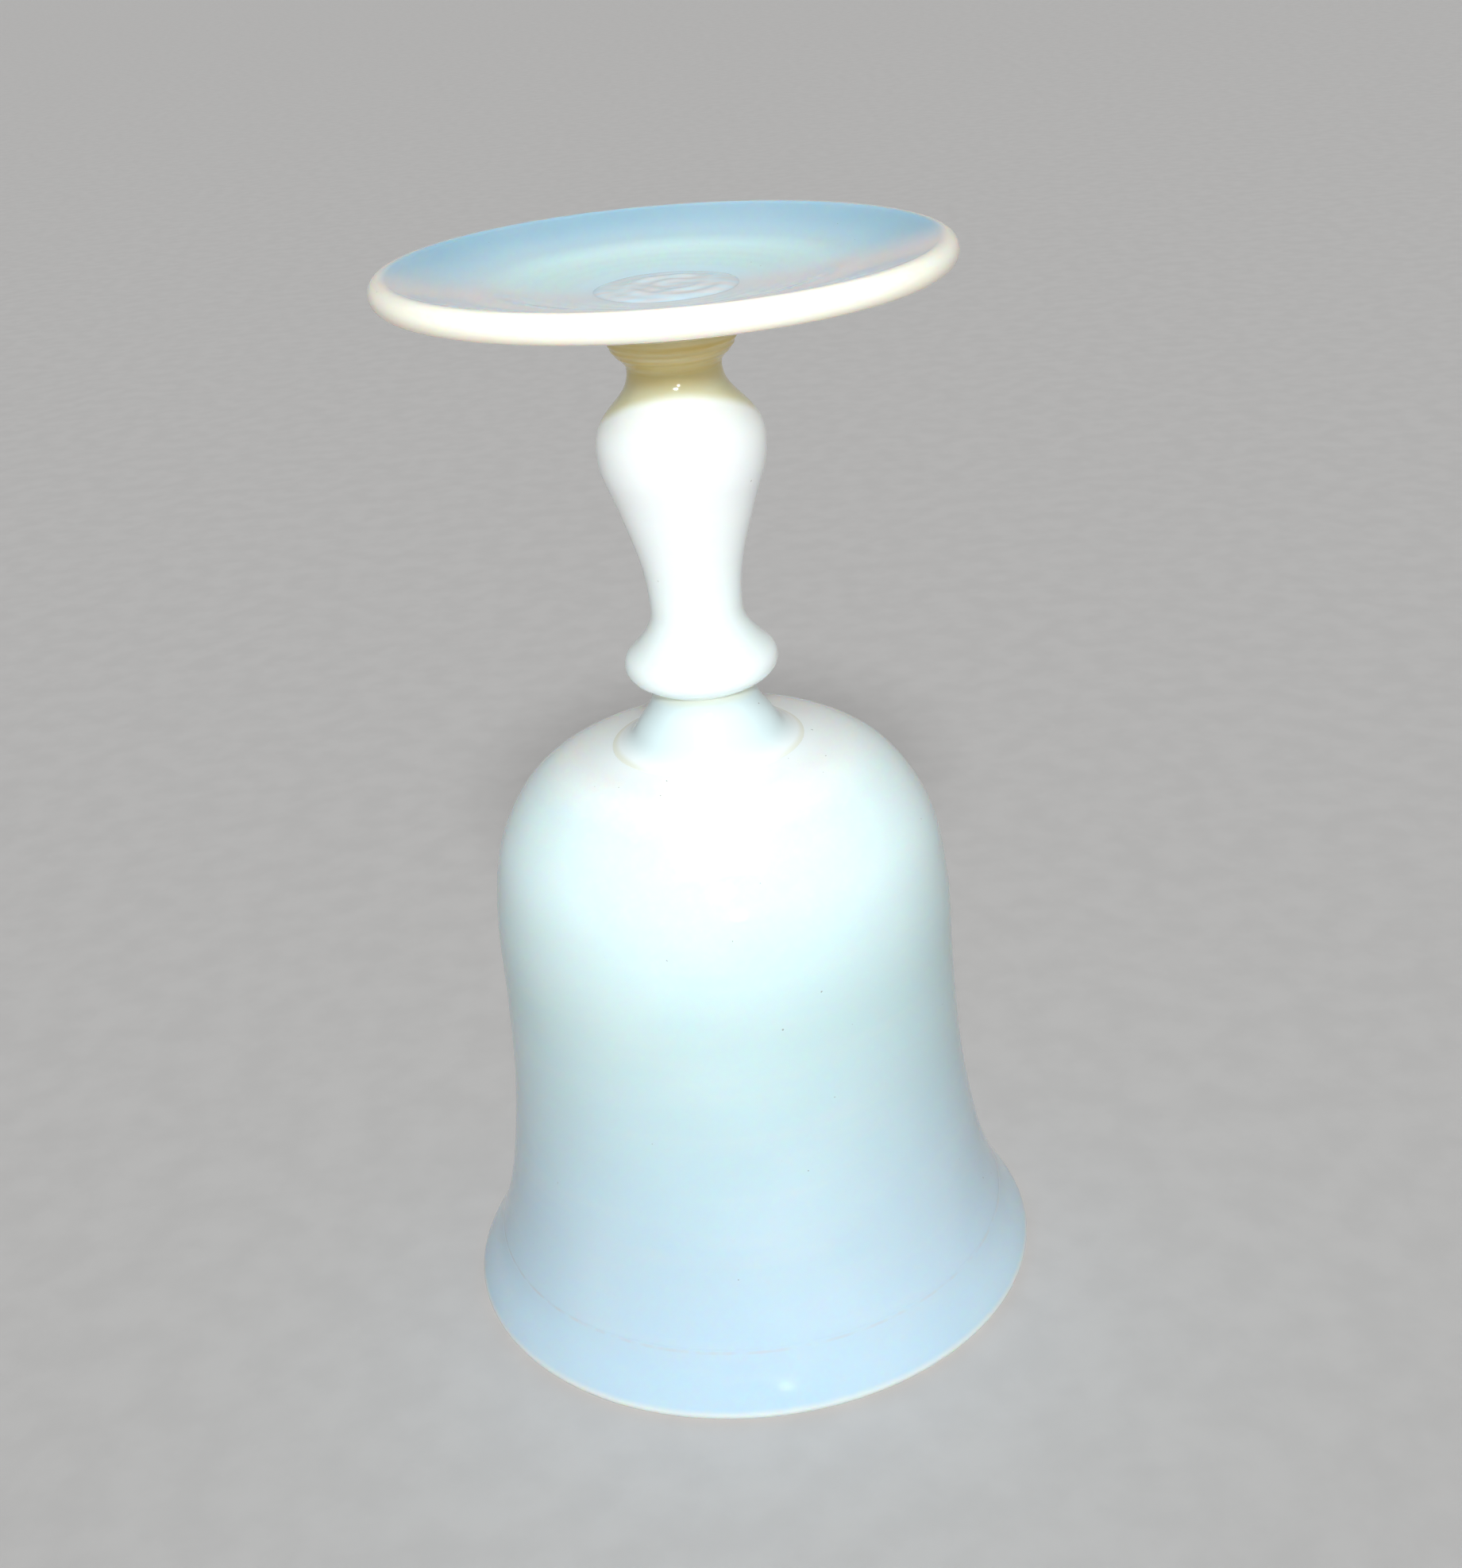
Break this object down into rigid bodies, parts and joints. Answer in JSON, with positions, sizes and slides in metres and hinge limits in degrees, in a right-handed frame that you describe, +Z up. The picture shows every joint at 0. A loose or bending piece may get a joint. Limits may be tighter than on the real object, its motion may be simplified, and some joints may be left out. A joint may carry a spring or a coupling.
{
  "type": "bell-shaped glass vase",
  "caption": "Opaline glass footed vase or goblet with a bell-shaped bowl and a knopped baluster stem, stood upside down on its flared rim.",
  "frame": {"origin": "centre of the plane that the flared rim rests on", "axes": "+Z up the axis of revolution, from the bowl's rim to the foot, as the object is displayed; X and Y are free, because every piece is round about Z"},
  "size_m": [0.1134, 0.1134, 0.2],
  "materials": {
    "opaline_bowl": "glossy opaque white opaline glass, faintly blue, warmer where it is thin",
    "opaline_collar": "glossy opaque white opaline glass with a khaki tone under the knop",
    "opaline_stem": "glossy opaque white opaline glass, amber at the neck",
    "amber_neck": "glossy amber-toned opaline glass with fine tool rings",
    "opaline_foot": "glossy light blue opaline glass with a fire-polished white edge",
    "pontil_glass": "fire-polished rough pontil glass, greyish"
  },
  "bodies": {
    "root": {"bowl": "opaline_bowl", "bowl_collar": "opaline_collar", "stem": "opaline_stem", "foot_collar": "amber_neck", "foot": "opaline_foot", "pontil_mark": "pontil_glass"}
  },
  "joints": []
}
